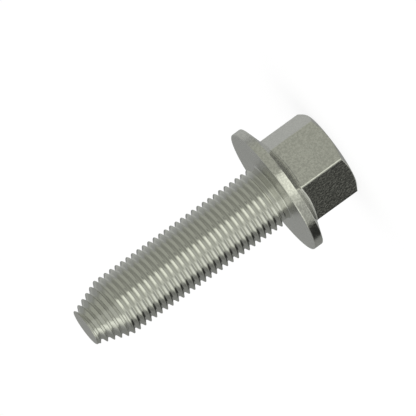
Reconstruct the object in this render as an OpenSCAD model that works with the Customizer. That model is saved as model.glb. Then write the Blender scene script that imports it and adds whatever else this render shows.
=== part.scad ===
// Self-tapping screw with a hexagon flange head and a fine right-hand thread.
// All sizes are millimetres. The screw stands on its head: the origin is the
// middle of the head's end face, and the shank points up along +Z.

/* [Hexagon] */
// Width across the flats
across_flats = 12.8; // [11:0.1:14]
// Height of the head from the bearing face to the end face
head_h = 10.63; // [8:0.01:12]
// How far the round end face lies inside the flats
crown_inset = 0.12; // [0.05:0.01:0.6]
// Slope of the chamfer round the end face
crown_angle = 30; // [20:1:40]
// How far the six upright edges are turned down
corner_trim = 0.03; // [0.01:0.01:0.2]
// Blend where the flats run into the flange
hex_blend_r = 0.4; // [0.2:0.05:0.8]

/* [Flange] */
// Diameter of the flange
flange_d = 20.65; // [18:0.05:24]
// Height of the upright rim
rim_h = 1.45; // [1:0.05:2]
// Slope of the flange's outer face
flange_angle = 20.5; // [15:0.5:25]
// Rounding of the rim's edges
rim_edge_r = 0.08; // [0.03:0.01:0.3]

/* [Shank] */
// Length from the bearing face to the tip
shank_l = 34.4; // [20:0.1:60]
// Length of the plain neck under the flange
neck_l = 0.65; // [0.65:0.05:1.5]
// Fillet between the neck and the bearing face
neck_fillet_r = 0.6; // [0.3:0.05:0.6]

/* [Thread] */
// Diameter over the crests
thread_d = 9.8; // [8:0.1:12]
// Distance from one crest to the next
pitch = 1; // [0.8:0.05:1.25]
// Angle between the two flanks
flank_angle = 60; // [50:1:65]
// Height over the bearing face at which the thread starts
thread_start = 0.825; // [0.75:0.005:1.5]
// Direction from the axis in which the thread starts
start_angle = 153; // [0:1:359]
// Turns over which the thread grows to its full depth
runout_turns = 0.5; // [0.3:0.1:1]

/* [Lead-in] */
// Length of the tapered end
lead_l = 5.1; // [3:0.1:8]
// Diameter over the crests at the tip
tip_d = 5.88; // [4.5:0.01:7.5]
// Thickness of the plain land behind the tip face
tip_land = 0.2; // [0.1:0.05:0.5]
// Rounding of the tip's edge
tip_edge_r = 0.08; // [0.03:0.01:0.2]

/* [Hidden] */
$fn = 64;
steel = [0.72, 0.72, 0.69];

// Head
flat_r = across_flats / 2;
corner_r = flat_r / cos(30);
crown_r = flat_r - crown_inset;
flange_r = flange_d / 2;
rim_z = head_h - rim_h;

// Thread proportions as shares of the pitch, and how far the neck stands over the root
depth_share = 0.6;
crest_share = 0.05;
neck_step = 0.04;
thread_depth = depth_share * pitch;
crest_w = crest_share * pitch;
flank_w = thread_depth * tan(flank_angle / 2);
thread_r = thread_d / 2;
root_r = thread_r - thread_depth;
neck_r = root_r + neck_step;

// Tip
tip_r = tip_d / 2;
tip_z = head_h + shank_l;
lead_slope = (thread_r - tip_r) / lead_l;
land_z = tip_z - tip_land;

// The threaded surface runs on past the tip, where it is trimmed, and then on as a plain core
past_tip = 1.5 * pitch;
plain_end = 2 * pitch;

// Steps round one turn, and turns from the start to past the tip
steps = 30;
turns = ceil((shank_l - thread_start + past_tip) / pitch);
core_low = head_h - rim_h / 2;
core_high = tip_z + past_tip + plain_end;

// One pitch of the profile as [distance from the crest's middle, share of the depth]
profile = [
    [-crest_w / 2 - flank_w, 0],
    [-crest_w / 2, 1],
    [crest_w / 2, 1],
    [crest_w / 2 + flank_w, 0],
];
rows = len(profile) * turns;

// Steps round the blend's arc and along each flat, and how deep it is let into the head
arc_steps = 4;
side_steps = 5;
sink = 0.3;
bite = 0.01;

// How far the flange's section runs in under the hexagon
flange_inner = 1;

// Radius over the crests at height z
function crest_r(z) = min(thread_r, tip_r + max(0, tip_z - z) * lead_slope);

// Height of the flange's sloping face at radius r
function slope_z(r) = rim_z - (flange_r - r) * tan(flange_angle);

// Rounded corner at p, whose sides leave it in directions a and b:
// [where it meets the first side, centre, where it meets the second side]
function rounded(p, a, b, r) =
    let (
        half = (b - a) / 2,
        side = r / tan(half),
        centre = r / sin(half),
        mid = a + half
    ) [
        p + side * [cos(a), sin(a)],
        p + centre * [cos(mid), sin(mid)],
        p + side * [cos(b), sin(b)]
    ];

// Share of the full depth that the thread has after t turns
function growth(t) = t > turns - 1 ? 0 : min(1, t / runout_turns);

// Point on the thread's surface: column a round the axis, row k up the profile
function thread_point(a, k) =
    let (
        m = len(profile),
        t = floor(k / m) + a / steps,
        z = head_h + thread_start + pitch * t + profile[k % m][0],
        r = crest_r(z) - thread_depth * (1 - profile[k % m][1] * growth(t)),
        angle = start_angle + 360 * a / steps
    ) [r * cos(angle), r * sin(angle), z];

// Point on the flat ring that closes the surface at height z
function ring_point(a, z) =
    let (
        r = crest_r(z) - thread_depth,
        angle = start_angle + 360 * a / steps
    ) [r * cos(angle), r * sin(angle), z];

// Section of the blend at station i round the hexagon, as points [r, z] along one ray
function blend_section(i) =
    let (
        lean = atan((2 * (i % side_steps) / side_steps - 1) * tan(30)),
        r = hex_blend_r,
        gamma = atan(tan(flange_angle) / cos(lean)),
        centre_z = slope_z(flat_r / cos(lean)) + (r - bite) * (tan(gamma) - 1 / cos(gamma)),
        arc = [
            for (j = [0:arc_steps])
                let (phi = 180 - j * (90 - gamma) / arc_steps)
                    [r - bite + r * cos(phi), centre_z + r * sin(phi)]
        ],
        end = arc[arc_steps],
        ring = concat(arc, [end + [0, sink], [-sink, end[1] + sink], [-sink, arc[0][1]]])
    ) [for (p = ring) [(flat_r + p[0]) / cos(lean), p[1]]];

// Hexagon with its chamfered end face and turned-down edges
module hexagon() {
    far_r = corner_r - corner_trim;
    intersection() {
        cylinder(h = rim_z, r = corner_r, $fn = 6);
        rotate_extrude() polygon([
            [0, 0],
            [crown_r, 0],
            [far_r, (far_r - crown_r) * tan(crown_angle)],
            [far_r, rim_z],
            [0, rim_z],
        ]);
    }
}

// Concave blend between the six flats and the flange's sloping face
module hex_blend() {
    stations = 6 * side_steps;
    m = arc_steps + 4;
    points = [
        for (i = [0:stations - 1])
            let (
                side = floor(i / side_steps),
                share = 2 * (i % side_steps) / side_steps - 1,
                angle = 30 + 60 * side + atan(share * tan(30))
            ) for (p = blend_section(i)) [p[0] * cos(angle), p[0] * sin(angle), p[1]]
    ];
    faces = [
        for (i = [0:stations - 1], j = [0:m - 1])
            let (
                p = i * m + j,
                p_up = i * m + (j + 1) % m,
                q = (i + 1) % stations * m + j,
                q_up = (i + 1) % stations * m + (j + 1) % m
            ) each [[p, p_up, q_up], [p, q_up, q]]
    ];
    polyhedron(points, faces);
}

// Half section of the flange, with both edges of its rim rounded
module flange_section() {
    inner_r = flat_r - flange_inner;
    top = rounded([flange_r, head_h], 180, 270, rim_edge_r);
    low = rounded([flange_r, rim_z], 90, 180 + flange_angle, rim_edge_r);
    polygon([
        [0, head_h],
        top[0],
        top[2],
        low[0],
        low[2],
        [inner_r, slope_z(inner_r)],
        [0, slope_z(inner_r)],
    ]);
    for (edge = [top, low]) translate(edge[1]) circle(r = rim_edge_r);
}

// Half section of the neck, with the fillet that meets the bearing face
module neck_section() {
    f = neck_fillet_r;
    square([neck_r, head_h + neck_l]);
    difference() {
        square([neck_r + f, head_h + f]);
        translate([neck_r + f, head_h + f]) circle(r = f);
    }
}

// Half section of the land behind the tip face
module tip_section() {
    lean = atan(lead_slope);
    over = bite / 2;
    edge = rounded([tip_r + over, tip_z], 180, 270 + lean, tip_edge_r);
    polygon([[0, tip_z], edge[0], edge[2], [crest_r(land_z) + over, land_z], [0, land_z]]);
    translate(edge[1]) circle(r = tip_edge_r);
}

// Threaded core, made longer than the shank and trimmed inside the land at the tip
module thread_core() {
    m = len(profile);
    column = rows + 2;
    last = steps - 1;
    points = [
        for (a = [0:last]) each concat(
            [ring_point(a, core_low)],
            [for (k = [0:rows - 1]) thread_point(a, k)],
            [ring_point(a, core_high)]
        )
    ];
    // Quads between neighbouring columns
    sides = [
        for (a = [0:last - 1], k = [0:column - 2])
            let (p = a * column + k, q = p + column) each [[p, p + 1, q + 1], [p, q + 1, q]]
    ];
    // The last column meets the first one a whole turn further up
    seam = [
        for (k = [1:rows - m - 1])
            let (p = last * column + k, q = k + m) each [[p, p + 1, q + 1], [p, q + 1, q]]
    ];
    low_gap = concat([last * column, last * column + 1], [for (k = [m + 1:-1:0]) k]);
    high_gap = concat([for (k = [rows - m:rows + 1]) last * column + k], [rows + 1, rows]);
    low_end = [for (a = [0:last]) a * column];
    high_end = [for (a = [last:-1:0]) a * column + rows + 1];
    intersection() {
        polyhedron(points, concat(sides, seam, [low_gap, high_gap, low_end, high_end]));
        cylinder(h = tip_z - tip_land / 2, r = thread_d);
    }
}

module screw() {
    color(steel) union() {
        hexagon();
        hex_blend();
        rotate_extrude() {
            flange_section();
            neck_section();
        }
        rotate_extrude() tip_section();
        thread_core();
    }
}

screw();
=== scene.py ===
import math

import bmesh
import bpy
from mathutils import Matrix, Vector


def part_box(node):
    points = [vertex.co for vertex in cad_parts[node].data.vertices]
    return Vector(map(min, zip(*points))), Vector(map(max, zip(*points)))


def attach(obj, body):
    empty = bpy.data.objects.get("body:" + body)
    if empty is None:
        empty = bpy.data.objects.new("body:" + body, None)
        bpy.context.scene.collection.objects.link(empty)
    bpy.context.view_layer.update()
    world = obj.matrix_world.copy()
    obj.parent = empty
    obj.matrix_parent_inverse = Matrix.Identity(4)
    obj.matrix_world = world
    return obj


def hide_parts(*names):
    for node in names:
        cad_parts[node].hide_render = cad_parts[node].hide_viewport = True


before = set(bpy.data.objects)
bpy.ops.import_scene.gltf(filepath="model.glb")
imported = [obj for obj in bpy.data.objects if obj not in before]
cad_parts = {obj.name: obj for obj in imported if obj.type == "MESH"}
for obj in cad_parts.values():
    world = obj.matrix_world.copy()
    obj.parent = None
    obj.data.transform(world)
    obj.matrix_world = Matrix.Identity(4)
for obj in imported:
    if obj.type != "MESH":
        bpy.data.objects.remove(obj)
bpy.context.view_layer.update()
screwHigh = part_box("screw")[1]

millimetre = 0.001  # all lengths are in millimetres, and each mesh is scaled once
rimRadius = screwHigh.x / millimetre
tipHeight = screwHigh.z / millimetre
mergeGap = {"thread": 0.0005, "screw": 0.0002}  # points closer than this become one

head = {
    "acrossFlats": 12.8,
    "height": 10.63,  # bearing face to end face
    "cornerRound": 0.1,  # the six upright edges
    "cornerSteps": 4,
    "flatCuts": 15,  # points put into the outline of each flat
    "crownInset": 0.12,  # the end face lies this far inside the flats
    "crownAngle": 30.0,
    "crownRound": 0.15,
    "crownSteps": 2,
    "chamferRound": 0.1,
    "blend": 0.4,  # hollow at the foot of the flats
    "blendSteps": 6,
    "slope": 20.5,  # the flange's outer face
    "rimHeight": 1.45,
    "rimRound": 0.09,
    "edgeSteps": 3,  # round the edges of the chamfer and the rim
    "endRing": 1.0,  # ring of faces round the middle of the end face
    "seatRing": 0.6,  # ring of faces on the bearing face, inside the rim
}
halfFlat = math.radians(30)  # half the angle that one flat takes up

thread = {
    "pitch": 1.0,
    "crestRadius": 4.9,
    "depth": 0.6,
    "flankAngle": 60.0,
    "crestFlat": 0.05,
    "crestRound": 0.022,  # cut off each edge of the crest
    "crestSteps": 2,
    "rootRound": 0.112,  # taken up by the hollow on each side of the root
    "rootSteps": 3,
    "start": 0.825,  # height over the bearing face
    "startAngle": 153.0,
    "runout": 0.5,  # turns to full depth
    "spareTurns": 2,  # below the start and past the tip, pressed flat afterwards
    "neck": 0.65,
    "neckFillet": 0.6,
    "filletSteps": 6,
    "filletRing": 0.3,  # ring of faces round the foot of the fillet
    "steps": 120,  # columns round a turn, as many as round the head
}

tip = {
    "radius": 2.94,
    "taper": 5.1,
    "land": 0.2,  # plain ring behind the tip face
    "fade": 0.16,  # length over which the groove ends at that ring
    "edgeHeight": 0.1,  # the rounded edge lies within this length
    "edgeRound": 0.08,
    "edgeSteps": 3,
    "faceRing": 0.4,  # ring of faces round the middle of the tip face
}


def newMesh(name, bm):
    bmesh.ops.scale(bm, vec=(millimetre,) * 3, verts=bm.verts)
    mesh = bpy.data.meshes.new(name)
    bm.to_mesh(mesh)
    bm.free()
    piece = bpy.data.objects.new(name, mesh)
    bpy.context.scene.collection.objects.link(piece)
    return piece


def roundedPath(corners):
    # corners are (point, radius, steps); every corner but the ends becomes an arc
    path = [corners[0][0]]
    for (before, _, _), (here, radius, steps), (after, _, _) in zip(corners, corners[1:], corners[2:]):
        toBefore = (before - here).normalized()
        toAfter = (after - here).normalized()
        half = toBefore.angle(toAfter) / 2
        middle = here + (toBefore + toAfter).normalized() * radius / math.sin(half)
        first = here + toBefore * radius / math.tan(half) - middle
        last = here + toAfter * radius / math.tan(half) - middle
        sweep = math.pi - 2 * half
        for k in range(steps + 1):
            turned = sweep * k / steps
            spoke = first * math.sin(sweep - turned) + last * math.sin(turned)
            path.append(middle + spoke / math.sin(sweep))
    path.append(corners[-1][0])
    return path


def extrudeRing(bm, edges, place):
    # one more ring of faces; place gives the new radius and height of each vertex
    made = bmesh.ops.extrude_edge_only(bm, edges=edges)["geom"]
    verts = {v for v in made if isinstance(v, bmesh.types.BMVert)}
    for v in verts:
        outward = Vector((v.co.x, v.co.y)).normalized()
        radius, height = place(v)
        v.co = (outward.x * radius, outward.y * radius, height)
    return [e for e in made if isinstance(e, bmesh.types.BMEdge) and set(e.verts) <= verts]


def extrudeSection(bm, edges, section):
    # a ring of faces to each point of a half section after its first
    for radius, height in section[1:]:
        edges = extrudeRing(bm, edges, lambda v: (radius, height))
    return edges


def slopeHeight(radius):
    # the flange's outer face, which rises towards the rim
    slope = math.tan(math.radians(head["slope"]))
    return head["height"] - head["rimHeight"] - (rimRadius - radius) * slope


def headSection(outline):
    # half section of the head on a ray whose flat lies at radius outline
    crown = head["acrossFlats"] / 2 - head["crownInset"]
    chamfer = (outline - crown) * math.tan(math.radians(head["crownAngle"]))
    top = head["height"]
    edgeSteps = head["edgeSteps"]
    return roundedPath([
        (Vector((crown - head["endRing"], 0.0)), 0, 0),
        (Vector((crown, 0.0)), head["crownRound"], head["crownSteps"]),
        (Vector((outline, chamfer)), head["chamferRound"], edgeSteps),
        (Vector((outline, slopeHeight(outline))), head["blend"], head["blendSteps"]),
        (Vector((rimRadius, top - head["rimHeight"])), head["rimRound"], edgeSteps),
        (Vector((rimRadius, top)), head["rimRound"], edgeSteps),
        (Vector((rimRadius - head["seatRing"], top)), 0, 0),
    ])


def makeHead(bm):
    flatRadius = head["acrossFlats"] / 2
    ring = bmesh.ops.create_circle(bm, segments=6, radius=flatRadius / math.cos(halfFlat))["verts"]
    bmesh.ops.rotate(bm, cent=(0, 0, 0), matrix=Matrix.Rotation(halfFlat, 3, "Z"), verts=ring)
    side = head["cornerRound"] * math.tan(halfFlat)
    bmesh.ops.bevel(bm, geom=ring, offset=side, offset_type="OFFSET", segments=head["cornerSteps"],
                    profile=0.5, affect="VERTICES", material=-1)
    longEdges = [e for e in bm.edges if e.calc_length() > flatRadius / 2]
    bmesh.ops.subdivide_edges(bm, edges=longEdges, cuts=head["flatCuts"])
    outlineLayer = bm.verts.layers.float.new("outline")
    for v in bm.verts:
        v[outlineLayer] = v.co.length
    sections = {}

    def station(k):
        # where the k-th point of the section lies on each vertex's own ray
        def place(v):
            outline = v[outlineLayer]
            key = round(outline, 5)
            if key not in sections:
                sections[key] = headSection(outline)
            return sections[key][k]
        return place

    first = list(bm.edges)
    for v in bm.verts:
        radius, height = station(0)(v)
        outward = v.co.normalized()
        v.co = (outward.x * radius, outward.y * radius, height)
    edges = first
    for k in range(1, len(headSection(flatRadius))):
        edges = extrudeRing(bm, edges, station(k))
    bmesh.ops.edgeloop_fill(bm, edges=first)
    print("head", len(bm.faces), "faces")


def turnsFromStart(v):
    # turns from the thread's start to the crest that this vertex belongs to
    around = (math.degrees(math.atan2(v.co.y, v.co.x)) - thread["startAngle"]) / 360 % 1.0
    base = head["height"] + thread["start"]
    return round((v.co.z - base) / thread["pitch"] - around) + around


def crestRadius(height):
    slope = (thread["crestRadius"] - tip["radius"]) / tip["taper"]
    return min(thread["crestRadius"], tip["radius"] + (tipHeight - height) * slope)


def makeThreadOutline(bm):
    # one pitch of the profile, from root to root, with its corners rounded
    crest = thread["crestRadius"]
    root = crest - thread["depth"]
    flank = thread["depth"] * math.tan(math.radians(thread["flankAngle"] / 2))
    halfPitch = thread["pitch"] / 2
    halfCrest = thread["crestFlat"] / 2
    outline = [(root, -halfPitch), (root, -halfCrest - flank), (crest, -halfCrest),
               (crest, halfCrest), (root, halfCrest + flank), (root, halfPitch)]
    chain = [bm.verts.new((r, 0, z)) for r, z in outline]
    for a, b in zip(chain, chain[1:]):
        bm.edges.new((a, b))
    roots = [chain[1], chain[-2]]
    bmesh.ops.bevel(bm, geom=roots, offset=thread["rootRound"], offset_type="OFFSET",
                    segments=thread["rootSteps"], profile=0.5, affect="VERTICES", material=-1)
    crests = [v for v in bm.verts if v.co.x > (root + crest) / 2]
    bmesh.ops.bevel(bm, geom=crests, offset=thread["crestRound"], offset_type="OFFSET",
                    segments=thread["crestSteps"], profile=0.5, affect="VERTICES", material=-1)


def makeThread(bm):
    pitch, depth, steps = thread["pitch"], thread["depth"], thread["steps"]
    root = thread["crestRadius"] - depth
    makeThreadOutline(bm)
    turnToStart = Matrix.Rotation(math.radians(thread["startAngle"]), 3, "Z")
    bmesh.ops.rotate(bm, cent=(0, 0, 0), matrix=turnToStart, verts=bm.verts)
    low = head["height"] + thread["start"] - thread["spareTurns"] * pitch
    bmesh.ops.translate(bm, vec=(0, 0, low), verts=bm.verts)
    bmesh.ops.spin(bm, geom=list(bm.verts) + list(bm.edges), cent=(0, 0, 0), axis=(0, 0, 1),
                   dvec=(0, 0, pitch / steps), angle=2 * math.pi, steps=steps, use_merge=False)
    turn = list(bm.verts) + list(bm.edges) + list(bm.faces)
    for k in range(1, math.ceil((tipHeight - low) / pitch) + thread["spareTurns"]):
        copy = bmesh.ops.duplicate(bm, geom=turn)["geom"]
        moved = [v for v in copy if isinstance(v, bmesh.types.BMVert)]
        bmesh.ops.translate(bm, vec=(0, 0, k * pitch), verts=moved)
    bmesh.ops.remove_doubles(bm, verts=bm.verts, dist=mergeGap["thread"])

    # run-out at the neck, taper and plain ring at the tip
    neckTop = head["height"] + thread["neck"]
    landLow = tipHeight - tip["land"]
    for v in bm.verts:
        outward = Vector((v.co.x, v.co.y))
        share = (outward.length - root) / depth
        growth = min(1.0, max(0.0, turnsFromStart(v) / thread["runout"]))
        height = min(max(v.co.z, neckTop), tipHeight - tip["edgeHeight"])
        cut = min(1.0, max(0.0, (landLow - height) / tip["fade"]))
        radius = crestRadius(height) - depth * (1 - share * growth) * cut
        outward.normalize()
        v.co = (outward.x * radius, outward.y * radius, height)
    bmesh.ops.remove_doubles(bm, verts=bm.verts, dist=mergeGap["thread"])
    ends = [e for e in bm.edges if e.is_boundary]
    lowEnd = [e for e in ends if e.verts[0].co.z < tipHeight / 2]
    highEnd = [e for e in ends if e.verts[0].co.z > tipHeight / 2]
    print("thread", len(bm.faces), "faces, open ends", len(lowEnd), len(highEnd))
    return lowEnd, highEnd


def makeTip(bm, edges):
    low = tipHeight - tip["edgeHeight"]
    edge = crestRadius(tipHeight)
    section = roundedPath([
        (Vector((crestRadius(low), low)), 0, 0),
        (Vector((edge, tipHeight)), tip["edgeRound"], tip["edgeSteps"]),
        (Vector((edge - tip["faceRing"], tipHeight)), 0, 0),
    ])
    edges = extrudeSection(bm, edges, section)
    bmesh.ops.edgeloop_fill(bm, edges=edges)


def makeNeck(bm, edges):
    root = thread["crestRadius"] - thread["depth"]
    base = head["height"]
    section = roundedPath([
        (Vector((root, base + thread["neck"])), 0, 0),
        (Vector((root, base)), thread["neckFillet"], thread["filletSteps"]),
        (Vector((root + thread["neckFillet"] + thread["filletRing"], base)), 0, 0),
    ])
    extrudeSection(bm, edges, section)


def makeScrew():
    shank = bmesh.new()
    lowEnd, highEnd = makeThread(shank)
    makeTip(shank, highEnd)
    makeNeck(shank, lowEnd)
    shankMesh = bpy.data.meshes.new("shank")
    shank.to_mesh(shankMesh)
    shank.free()

    bm = bmesh.new()
    makeHead(bm)
    bm.from_mesh(shankMesh)
    bpy.data.meshes.remove(shankMesh)
    rims = [e for e in bm.edges if e.is_boundary]
    bmesh.ops.bridge_loops(bm, edges=rims)
    bmesh.ops.remove_doubles(bm, verts=bm.verts, dist=mergeGap["screw"])
    bmesh.ops.recalc_face_normals(bm, faces=bm.faces)
    openEdges = sum(1 for e in bm.edges if not e.is_manifold)
    print("screw", len(bm.faces), "faces,", openEdges, "open edges")
    piece = newMesh("screwBody", bm)
    for face in piece.data.polygons:
        face.use_smooth = True
    return piece


screw = makeScrew()
screw.modifiers.new("evenNormals", "WEIGHTED_NORMAL")
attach(screw, "root")
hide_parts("screw")


def addNode(tree, kind, **settings):
    # a setting whose name starts with in_ is the value of that input
    node = tree.nodes.new("ShaderNode" + kind)
    for name, value in settings.items():
        if name.startswith("in_"):
            node.inputs[name[3:].replace("_", " ")].default_value = value
        else:
            setattr(node, name, value)
    return node


def addMath(tree, operation, *values):
    node = addNode(tree, "Math", operation=operation)
    for socket, value in zip(node.inputs, values):
        if isinstance(value, (int, float)):
            socket.default_value = value
        else:
            tree.links.new(value, socket)
    return node.outputs[0]


def addVectorMath(tree, operation, first, second=None, scale=None):
    node = addNode(tree, "VectorMath", operation=operation)
    tree.links.new(first, node.inputs[0])
    if second is not None:
        tree.links.new(second, node.inputs[1])
    if scale is not None:
        tree.links.new(scale, node.inputs["Scale"])
    return node.outputs["Vector"]


def addRange(tree, value, first, last, start=0.0, end=1.0):
    # start where the value is first, end where it is last, even between and held beyond
    node = addNode(tree, "MapRange", in_From_Min=first, in_From_Max=last, in_To_Min=start, in_To_Max=end)
    tree.links.new(value, node.inputs["Value"])
    return node.outputs["Result"]


def addMix(tree, share, first, second):
    # the first colour where share is 0, the second where it is 1
    node = addNode(tree, "MixRGB", blend_type="MIX")
    node.inputs["Color1"].default_value = (*first, 1)
    node.inputs["Color2"].default_value = (*second, 1)
    tree.links.new(share, node.inputs["Fac"])
    return node.outputs["Color"]


def splitAxes(tree, vector):
    axes = addNode(tree, "SeparateXYZ")
    tree.links.new(vector, axes.inputs[0])
    return [axes.outputs[axis] for axis in "XYZ"]


def axisDistance(tree, x, y):
    # distance from the middle of the screw
    squares = [addMath(tree, "MULTIPLY", part, part) for part in (x, y)]
    return addMath(tree, "SQRT", addMath(tree, "ADD", *squares))


def newGroup(name, inputs, outputs):
    tree = bpy.data.node_groups.new(name, "ShaderNodeTree")
    for label, value in inputs:
        socket = tree.interface.new_socket(label, in_out="INPUT", socket_type="NodeSocketFloat")
        socket.default_value = value
    for label in outputs:
        tree.interface.new_socket(label, in_out="OUTPUT", socket_type="NodeSocketFloat")
    return tree, tree.nodes.new("NodeGroupInput"), tree.nodes.new("NodeGroupOutput")


def newMaterial(name, roughness):
    material = bpy.data.materials.new(name)
    material.use_nodes = True
    shader = material.node_tree.nodes["Principled BSDF"]
    shader.inputs["Metallic"].default_value = 1.0
    shader.inputs["Roughness"].default_value = roughness
    return material, material.node_tree, shader


grain = {
    "detail": 1.0,
    "cloudDetail": 2.0,
    "roughness": 0.5,  # how much the finer noise adds
    "maskLow": 0.35,  # noise between these two levels fills the mask
    "maskHigh": 0.65,
}


def makeGrainGroup():
    # speckle and cloudy tone of worked steel, in sizes that each material gives
    sizes = [("Size", 1.0), ("Cloud Size", 1.0)]
    tree, given, result = newGroup("steelGrain", sizes, ["Height", "Mask", "Cloud"])
    place = addNode(tree, "TexCoord").outputs["Object"]
    levels = []
    for size, detail in (("Size", grain["detail"]), ("Cloud Size", grain["cloudDetail"])):
        noise = addNode(tree, "TexNoise", in_Detail=detail, in_Roughness=grain["roughness"])
        tree.links.new(place, noise.inputs["Vector"])
        scale = addMath(tree, "DIVIDE", 1 / millimetre, given.outputs[size])
        tree.links.new(scale, noise.inputs["Scale"])
        levels.append(noise.outputs["Fac"])
    fine, cloud = levels
    spread = addRange(tree, fine, grain["maskLow"], grain["maskHigh"])
    tree.links.new(fine, result.inputs["Height"])
    tree.links.new(spread, result.inputs["Mask"])
    tree.links.new(cloud, result.inputs["Cloud"])
    return tree


edgeWearAndHighlight = {
    "width": 0.16,  # how far the polish and the painted highlight reach in from an edge
    "full": 0.04,  # it is full within this distance
    "footFade": 0.2,  # on the upright edges it ends over this length before the flange
    "rimReach": 0.3,  # on the rim it starts this far inside the outer face
    "rimFull": 0.15,  # and is full from here outwards
    "turn": 0.012,  # how far it takes an edge down
    "gloss": 0.06,  # taken off the roughness
    "tone": 0.08,  # painted highlight, added to the colour
}


def makeWearAndHighlightEdges(tree):
    # wear polish and painted highlight along the six upright edges and both edges of the rim, from 0 to 1
    x, y, z = splitAxes(tree, addNode(tree, "TexCoord").outputs["Object"])
    radius = axisDistance(tree, x, y)
    flatRadius = head["acrossFlats"] / 2
    corner = flatRadius / math.cos(halfFlat)
    side = corner / 2 - edgeWearAndHighlight["width"]  # along the flat from its middle
    upright = addRange(tree, radius, math.hypot(flatRadius, side) * millimetre,
                       (corner - edgeWearAndHighlight["full"]) * millimetre)
    foot = slopeHeight(corner)
    overFoot = addRange(tree, z, foot * millimetre, (foot - edgeWearAndHighlight["footFade"]) * millimetre)
    rimHalf = head["rimHeight"] / 2
    rimMiddle = (head["height"] - rimHalf) * millimetre
    away = addMath(tree, "ABSOLUTE", addMath(tree, "SUBTRACT", z, rimMiddle))
    rim = addRange(tree, away, (rimHalf - edgeWearAndHighlight["width"]) * millimetre,
                   (rimHalf - edgeWearAndHighlight["full"]) * millimetre)
    outer = addRange(tree, radius, (rimRadius - edgeWearAndHighlight["rimReach"]) * millimetre,
                     (rimRadius - edgeWearAndHighlight["rimFull"]) * millimetre)
    uprightEdges = addMath(tree, "MULTIPLY", upright, overFoot)
    rimEdges = addMath(tree, "MULTIPLY", rim, outer)
    return addMath(tree, "MAXIMUM", uprightEdges, rimEdges)


forged = {
    "base": (0.72, 0.72, 0.69),  # bare steel
    "cloudSize": 4.0,
    "cloudTone": 0.04,  # how far the clouds change the colour, up and down
    "roughness": 0.17,
    "roughnessSpread": 0.03,  # how far the speckle changes it, up and down
    "grain": 0.3,  # size of the speckle
    "grainHeight": 0.016,
    "speckle": 0.1,  # how far the speckle changes the colour
    "seatRoughness": 0.3,  # the bearing face
    "seatSpeckle": 0.3,  # share of the speckle that it has
    "seatFacing": (0.85, 0.99),  # upward part of the normal where it begins and is full
}


def makeForgedSteel(grainGroup):
    material, tree, shader = newMaterial("forgedSteel", forged["roughness"])
    speckle = addNode(tree, "Group", node_tree=grainGroup, in_Size=forged["grain"],
                      in_Cloud_Size=forged["cloudSize"])
    mask = speckle.outputs["Mask"]
    # 0 on the sides, 1 on the bearing face and the tip's face
    _, _, upward = splitAxes(tree, addNode(tree, "NewGeometry").outputs["Normal"])
    seat = addRange(tree, upward, *forged["seatFacing"])
    wearAndHighlight = makeWearAndHighlightEdges(tree)

    darker, paler = [tuple(c * (1 + change) for c in forged["base"])
                     for change in (-forged["cloudTone"], forged["cloudTone"])]
    tone = addMix(tree, speckle.outputs["Cloud"], darker, paler)
    calm = addRange(tree, seat, 0, 1, 1, forged["seatSpeckle"])
    spots = addRange(tree, mask, 0, 1, -forged["speckle"], forged["speckle"])
    spots = addMath(tree, "MULTIPLY", spots, calm)
    # painted highlight: the colour is lifted along the edges
    paintedEdgeHighlight = addMath(tree, "MULTIPLY", wearAndHighlight, edgeWearAndHighlight["tone"])
    shade = addMath(tree, "ADD", addMath(tree, "ADD", spots, 1), paintedEdgeHighlight)
    spotted = addVectorMath(tree, "SCALE", tone, scale=shade)
    tree.links.new(spotted, shader.inputs["Base Color"])

    middle, spread = forged["roughness"], forged["roughnessSpread"]
    rough = addRange(tree, mask, 0, 1, middle - spread, middle + spread)
    dull = addMath(tree, "MULTIPLY", seat, forged["seatRoughness"] - middle)
    gloss = addMath(tree, "MULTIPLY", wearAndHighlight, edgeWearAndHighlight["gloss"])
    rough = addMath(tree, "SUBTRACT", addMath(tree, "ADD", rough, dull), gloss)
    tree.links.new(rough, shader.inputs["Roughness"])

    turned = addNode(tree, "Bump", invert=True, in_Distance=edgeWearAndHighlight["turn"] * millimetre)
    tree.links.new(wearAndHighlight, turned.inputs["Height"])
    bump = addNode(tree, "Bump", in_Distance=forged["grainHeight"] * millimetre)
    tree.links.new(turned.outputs["Normal"], bump.inputs["Normal"])
    tree.links.new(speckle.outputs["Height"], bump.inputs["Height"])
    tree.links.new(bump.outputs["Normal"], shader.inputs["Normal"])
    return material


rolled = {
    "base": (0.73, 0.735, 0.7),
    "rootShade": 0.97,  # painted shade: the root of the groove has this share of that colour
    "roughness": 0.17,
    "roughnessSpread": 0.03,
    "grain": 0.4,
    "grainHeight": 0.003,
    "seatGap": 0.02,  # its faces begin this far over the bearing face
}

# rolled flanks and crests shine as a rounded wave that follows the thread
shine = {
    # how far the shine leans up at each share of a pitch over the crest, in degrees
    "wave": [(0.0, 10), (0.08, 16), (0.17, 18), (0.25, 25), (0.42, 25), (0.5, 10),
             (0.58, -7), (0.67, -6), (0.83, -6), (0.92, 8), (1.0, 10)],
    "reach": 30,  # the ramp's black leans this far down, its white this far up
    "steepest": 33,  # wave and taper together lean no further up than this
    "taperBlend": 0.3,  # half the length over which the taper's lean comes in
    "neckEnd": (0.75, 1.05),  # over the bearing face, from a plain neck to the full wave
    "filletFoot": (0.05, 0.25),  # over the bearing face, from the mesh's normals to the shine's
    "tipRing": (0.05, -0.1),  # the same at the foot of the plain ring, counted from it
}


def pitchShare(tree, x, y, z):
    # share of a pitch over the nearest crest below
    around = addMath(tree, "DIVIDE", addMath(tree, "ARCTAN2", y, x), 2 * math.pi)
    turns = addMath(tree, "SUBTRACT", addMath(tree, "DIVIDE", z, thread["pitch"] * millimetre), around)
    base = (head["height"] + thread["start"]) / thread["pitch"] - thread["startAngle"] / 360
    return addMath(tree, "FRACT", addMath(tree, "SUBTRACT", turns, base))


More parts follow.
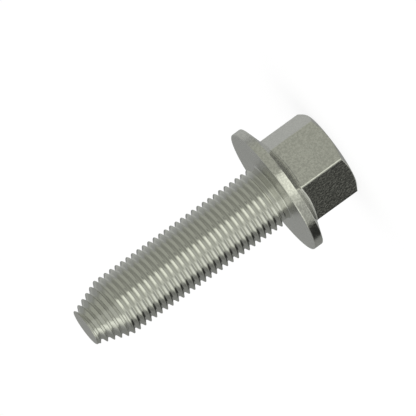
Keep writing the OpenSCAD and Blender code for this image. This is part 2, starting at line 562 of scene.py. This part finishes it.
def waveLean(tree, share):
    # the wave's lean in radians
    ramp = addNode(tree, "ValToRGB")
    ramp.color_ramp.interpolation = "LINEAR"
    points = ramp.color_ramp.elements
    points.remove(points[1])
    reach = shine["reach"]
    for k, (position, degrees) in enumerate(shine["wave"]):
        point = points[0] if k == 0 else points.new(position)
        point.position = position
        level = (degrees + reach) / (2 * reach)
        point.color = (level, level, level, 1)
    tree.links.new(share, ramp.inputs["Fac"])
    return addRange(tree, ramp.outputs["Color"], 0, 1, math.radians(-reach), math.radians(reach))


def heightRange(tree, z, base, heights, end=1.0):
    # 0 at the first of two heights over base, end at the second
    first, last = [(base + height) * millimetre for height in heights]
    return addRange(tree, z, first, last, 0, end)


def leaningNormal(tree, x, y, angle):
    # straight out from the axis, then turned up by angle
    radial = addNode(tree, "CombineXYZ")
    tree.links.new(x, radial.inputs["X"])
    tree.links.new(y, radial.inputs["Y"])
    outward = addVectorMath(tree, "NORMALIZE", radial.outputs[0])
    level = addVectorMath(tree, "SCALE", outward, scale=addMath(tree, "COSINE", angle))
    rise = addNode(tree, "CombineXYZ")
    tree.links.new(addMath(tree, "SINE", angle), rise.inputs["Z"])
    return addVectorMath(tree, "ADD", level, rise.outputs[0])


def makeShine(tree, x, y, z):
    # the neck shines as a plain cylinder, and the wave starts above it
    onset = heightRange(tree, z, head["height"], shine["neckEnd"])
    angle = addMath(tree, "MULTIPLY", waveLean(tree, pitchShare(tree, x, y, z)), onset)
    blend = (-shine["taperBlend"], shine["taperBlend"])
    taperAngle = math.atan((thread["crestRadius"] - tip["radius"]) / tip["taper"])
    taper = heightRange(tree, z, tipHeight - tip["taper"], blend, taperAngle)
    angle = addMath(tree, "ADD", angle, taper)
    angle = addMath(tree, "MINIMUM", angle, math.radians(shine["steepest"]))
    waved = leaningNormal(tree, x, y, angle)

    # the foot of the fillet and the plain ring at the tip keep their own normals
    begin = heightRange(tree, z, head["height"], shine["filletFoot"])
    end = heightRange(tree, z, tipHeight - tip["land"], shine["tipRing"])
    soft = addNode(tree, "Mix", data_type="VECTOR")
    tree.links.new(addMath(tree, "MULTIPLY", begin, end), soft.inputs[0])
    # inputs 4 and 5 and output 1 are the node's vectors
    tree.links.new(addNode(tree, "NewGeometry").outputs["Normal"], soft.inputs[4])
    tree.links.new(waved, soft.inputs[5])
    return addVectorMath(tree, "NORMALIZE", soft.outputs[1])


def makeRolledThread(grainGroup):
    material, tree, shader = newMaterial("rolledThread", rolled["roughness"])
    speckle = addNode(tree, "Group", node_tree=grainGroup, in_Size=rolled["grain"])
    x, y, z = splitAxes(tree, addNode(tree, "TexCoord").outputs["Object"])

    # 0 at the root, 1 at the crest
    crest = thread["crestRadius"]
    depth = addRange(tree, axisDistance(tree, x, y), (crest - thread["depth"]) * millimetre,
                     crest * millimetre)
    # painted shade, darker towards the root of the groove
    rootShadeColour = tuple(c * rolled["rootShade"] for c in rolled["base"])
    tree.links.new(addMix(tree, depth, rootShadeColour, rolled["base"]), shader.inputs["Base Color"])

    middle, spread = rolled["roughness"], rolled["roughnessSpread"]
    rough = addRange(tree, speckle.outputs["Mask"], 0, 1, middle - spread, middle + spread)
    tree.links.new(rough, shader.inputs["Roughness"])

    bump = addNode(tree, "Bump", in_Distance=rolled["grainHeight"] * millimetre)
    tree.links.new(speckle.outputs["Height"], bump.inputs["Height"])
    tree.links.new(makeShine(tree, x, y, z), bump.inputs["Normal"])
    tree.links.new(bump.outputs["Normal"], shader.inputs["Normal"])
    return material


def isThread(face):
    # the thread and its neck, between the bearing face and the tip's edge
    low = head["height"] + rolled["seatGap"]
    high = tipHeight - tip["edgeHeight"]
    return low * millimetre < face.center.z < high * millimetre


grainGroup = makeGrainGroup()
screw.data.materials.append(makeForgedSteel(grainGroup))
screw.data.materials.append(makeRolledThread(grainGroup))
threadFaces = [face for face in screw.data.polygons if isThread(face)]
for face in threadFaces:
    face.material_index = 1
print("materials", len(screw.data.materials), "with the rolled one on", len(threadFaces), "faces")


picture = {
    "azimuth": -14.7,
    "elevation": 8.7,
    "screwAngle": 35.905,  # the shank's slant in the picture
    "pixels": 416,  # across the frame
    "pixelsPerMillimetre": 6.81,
    "flangeRight": 9.543,  # the bearing face's middle, from the picture's middle
    "flangeUp": 2.323,
    "distance": 300.0,
    "near": 10.0,  # the camera sees what lies from here
    "far": 3000.0,  # to here
}


def makeCamera():
    azimuth, elevation = math.radians(picture["azimuth"]), math.radians(picture["elevation"])
    slant = math.radians(picture["screwAngle"])
    up = Vector((0, 0, 1))
    front = Vector((math.sin(azimuth), -math.cos(azimuth), 0))
    towards = up * math.sin(elevation) + front * math.cos(elevation)
    headward = front * math.sin(elevation) - up * math.cos(elevation)
    across = headward.cross(towards)
    right = headward * math.cos(slant) + across * math.sin(slant)
    above = headward * math.sin(slant) - across * math.cos(slant)
    flange = Vector((0, 0, head["height"]))
    middle = flange - right * picture["flangeRight"] - above * picture["flangeUp"]
    data = bpy.data.cameras.new("photoCamera")
    data.type = "ORTHO"
    data.ortho_scale = picture["pixels"] / picture["pixelsPerMillimetre"] * millimetre
    data.clip_start = picture["near"] * millimetre
    data.clip_end = picture["far"] * millimetre
    camera = bpy.data.objects.new("photoCamera", data)
    bpy.context.scene.collection.objects.link(camera)
    place = Matrix((right, above, towards)).transposed().to_4x4()
    place.translation = (middle + towards * picture["distance"]) * millimetre
    camera.matrix_world = place
    bpy.context.scene.camera = camera
    print("camera", round(data.ortho_scale / millimetre, 2), "mm across")


makeCamera()


white = (1, 1, 1, 1)

studio = {
    "turn": picture["azimuth"],  # azimuths are counted from the camera's side
    "tentRadius": 2000.0,
    "tentSubdivisions": 3,
    "tentLevel": 0.34,  # where no card hangs
    "tentTint": (0.985, 1.0, 0.97),
    "floorReach": 3000.0,
    "floorColour": (0.9, 0.9, 0.9, 1),
    "floorGlow": 0.84,  # share of the floor's white that glows and keeps the shadow pale
    "roomLevel": 1.15,  # light that the white room sheds
}

# what the metal mirrors: azimuth, half width, elevation, half height and soft edge in degrees,
# then level and colour; a later card covers an earlier one
cards = {
    "warmFront": (0, 95, 0, 90, 40, 0.42, (0.98, 1.0, 0.87)),
    "paleBack": (138, 26, -14, 24, 22, 0.47, (0.985, 1.0, 0.96)),
    "dimBack": (-143, 29, 0, 38, 22, 0.26, (0.985, 1.0, 0.95)),
    "softAbove": (-18, 34, 48, 16, 16, 0.52, (0.98, 1.0, 0.9)),
    "skyLeft": (-88, 30, 60, 18, 16, 1.1, (0.98, 1.0, 0.9)),
    "dimAbove": (56, 50, 27, 12, 14, 0.265, (0.98, 1.0, 0.87)),
    "lightSide": (-60, 22, -25, 30, 20, 0.42, (0.98, 1.0, 0.91)),
    "highLamp": (-60, 20, 15, 13, 14, 0.91, (0.98, 1.0, 0.9)),
    "sideShade": (-102, 14, 18, 8, 9, 0.18, (0.985, 1.0, 0.92)),
    "blackCard": (-106, 21, -9, 14, 12, 0.03, (0.98, 1.0, 0.92)),
    "lowLamp": (-98, 26, -50, 13, 12, 0.9, (0.985, 1.0, 0.93)),
    "panelFade": (-5, 22, 0, 16, 12, 0.71, (0.98, 1.0, 0.87)),
    "frontPanel": (-5, 22, -30, 25, 8, 1.07, (0.98, 1.0, 0.88)),
    "panelEdge": (-32, 8, -20, 32, 9, 0.65, (0.98, 1.0, 0.89)),
    "flangeShade": (30, 7, -35, 16, 6, 0.18, (0.98, 1.0, 0.93)),
}


def makeCardGroup():
    # how far a direction lies inside a card, from 0 to 1
    tree, given, result = newGroup("cardMask", [
        ("Azimuth", 0.0), ("Elevation", 0.0), ("Card Azimuth", 0.0), ("Half Width", 10.0),
        ("Card Elevation", 0.0), ("Half Height", 10.0), ("Soft", 5.0)], ["Mask"])
    masks = []
    for value, half in (("Azimuth", "Half Width"), ("Elevation", "Half Height")):
        away = addMath(tree, "SUBTRACT", given.outputs[value], given.outputs["Card " + value])
        if value == "Azimuth":
            away = addMath(tree, "WRAP", away, 180, -180)
        inside = addMath(tree, "SUBTRACT", given.outputs[half], addMath(tree, "ABSOLUTE", away))
        share = addMath(tree, "DIVIDE", inside, given.outputs["Soft"])
        # the soft edge lies half inside the card and half outside
        ramp = addNode(tree, "MapRange", interpolation_type="SMOOTHSTEP", in_From_Min=-0.5, in_From_Max=0.5)
        tree.links.new(share, ramp.inputs["Value"])
        masks.append(ramp.outputs["Result"])
    tree.links.new(addMath(tree, "MULTIPLY", *masks), result.inputs["Mask"])
    return tree


def newEmptyMaterial(name):
    material = bpy.data.materials.new(name)
    material.use_nodes = True
    material.node_tree.nodes.clear()
    return material, material.node_tree


def makeTent():
    # a lit tent round the screw, seen only in its reflections
    bm = bmesh.new()
    bmesh.ops.create_icosphere(bm, subdivisions=studio["tentSubdivisions"], radius=studio["tentRadius"])
    tent = newMesh("studioTent", bm)
    material, tree = newEmptyMaterial("tentLight")
    direction = addVectorMath(tree, "NORMALIZE", addNode(tree, "TexCoord").outputs["Object"])
    turn = math.radians(90 - studio["turn"])
    turned = addNode(tree, "VectorRotate", rotation_type="Z_AXIS", in_Angle=turn)
    tree.links.new(direction, turned.inputs["Vector"])
    x, y, z = splitAxes(tree, turned.outputs["Vector"])
    azimuth = addMath(tree, "DEGREES", addMath(tree, "ARCTAN2", y, x))
    elevation = addMath(tree, "DEGREES", addMath(tree, "ARCSINE", z))
    group = makeCardGroup()
    colour = addNode(tree, "RGB")
    colour.outputs[0].default_value = (*(studio["tentLevel"] * c for c in studio["tentTint"]), 1)
    last = colour.outputs[0]
    for name, (middle, halfWidth, height, halfHeight, soft, level, tint) in cards.items():
        mask = addNode(tree, "Group", node_tree=group, in_Card_Azimuth=middle, in_Half_Width=halfWidth,
                       in_Card_Elevation=height, in_Half_Height=halfHeight, in_Soft=soft, label=name)
        tree.links.new(azimuth, mask.inputs["Azimuth"])
        tree.links.new(elevation, mask.inputs["Elevation"])
        mix = addNode(tree, "MixRGB", blend_type="MIX", label=name)
        mix.inputs["Color2"].default_value = (*(level * c for c in tint), 1)
        tree.links.new(mask.outputs["Mask"], mix.inputs["Fac"])
        tree.links.new(last, mix.inputs["Color1"])
        last = mix.outputs["Color"]
    glow = addNode(tree, "Emission")
    tree.links.new(last, glow.inputs["Color"])
    out = addNode(tree, "OutputMaterial")
    tree.links.new(glow.outputs[0], out.inputs["Surface"])
    tent.data.materials.append(material)
    tent.visible_camera = tent.visible_diffuse = tent.visible_shadow = tent.visible_transmission = False


def seenDirectly(tree):
    # 1 on camera, glossy and transmission rays, 0 on those that light the object
    path = addNode(tree, "LightPath")
    seen = addMath(tree, "MAXIMUM", path.outputs["Is Camera Ray"], path.outputs["Is Glossy Ray"])
    return addMath(tree, "MAXIMUM", seen, path.outputs["Is Transmission Ray"])


def makeFloor():
    bm = bmesh.new()
    bmesh.ops.create_grid(bm, x_segments=1, y_segments=1, size=studio["floorReach"])
    floor = newMesh("floor", bm)
    material, tree = newEmptyMaterial("whiteFloor")
    matt = addNode(tree, "BsdfDiffuse", in_Color=studio["floorColour"])
    glow = addNode(tree, "Emission", in_Color=white)
    mix = addNode(tree, "MixShader")
    tree.links.new(addMath(tree, "MULTIPLY", seenDirectly(tree), studio["floorGlow"]), mix.inputs[0])
    tree.links.new(matt.outputs[0], mix.inputs[1])
    tree.links.new(glow.outputs[0], mix.inputs[2])
    out = addNode(tree, "OutputMaterial")
    tree.links.new(mix.outputs[0], out.inputs["Surface"])
    floor.data.materials.append(material)
    floor.visible_glossy = False  # the tent stands in front of it


def makeWorld():
    world = bpy.data.worlds.new("paleRoom")
    bpy.context.scene.world = world
    world.use_nodes = True
    tree = world.node_tree
    background = tree.nodes["Background"]
    background.inputs["Color"].default_value = white
    strength = addRange(tree, seenDirectly(tree), 0, 1, studio["roomLevel"], 1)
    tree.links.new(strength, background.inputs["Strength"])


softLamp = {
    "size": 250.0,
    "power": 0.5,  # watts
    "place": (-250.0, -300.0, 450.0),
    "aim": (0.0, 0.0, 20.0),
}


def makeLamp():
    data = bpy.data.lights.new("softLamp", "AREA")
    data.shape = "DISK"
    data.size = softLamp["size"] * millimetre
    data.energy = softLamp["power"]
    lamp = bpy.data.objects.new("softLamp", data)
    bpy.context.scene.collection.objects.link(lamp)
    lamp.location = Vector(softLamp["place"]) * millimetre
    aim = Vector(softLamp["aim"]) * millimetre
    lamp.rotation_euler = (aim - lamp.location).to_track_quat("-Z", "Y").to_euler()
    lamp.visible_glossy = False


makeTent()
makeFloor()
makeWorld()
makeLamp()
bpy.context.scene.view_settings.view_transform = "Standard"
print("studio with", len(cards), "cards")
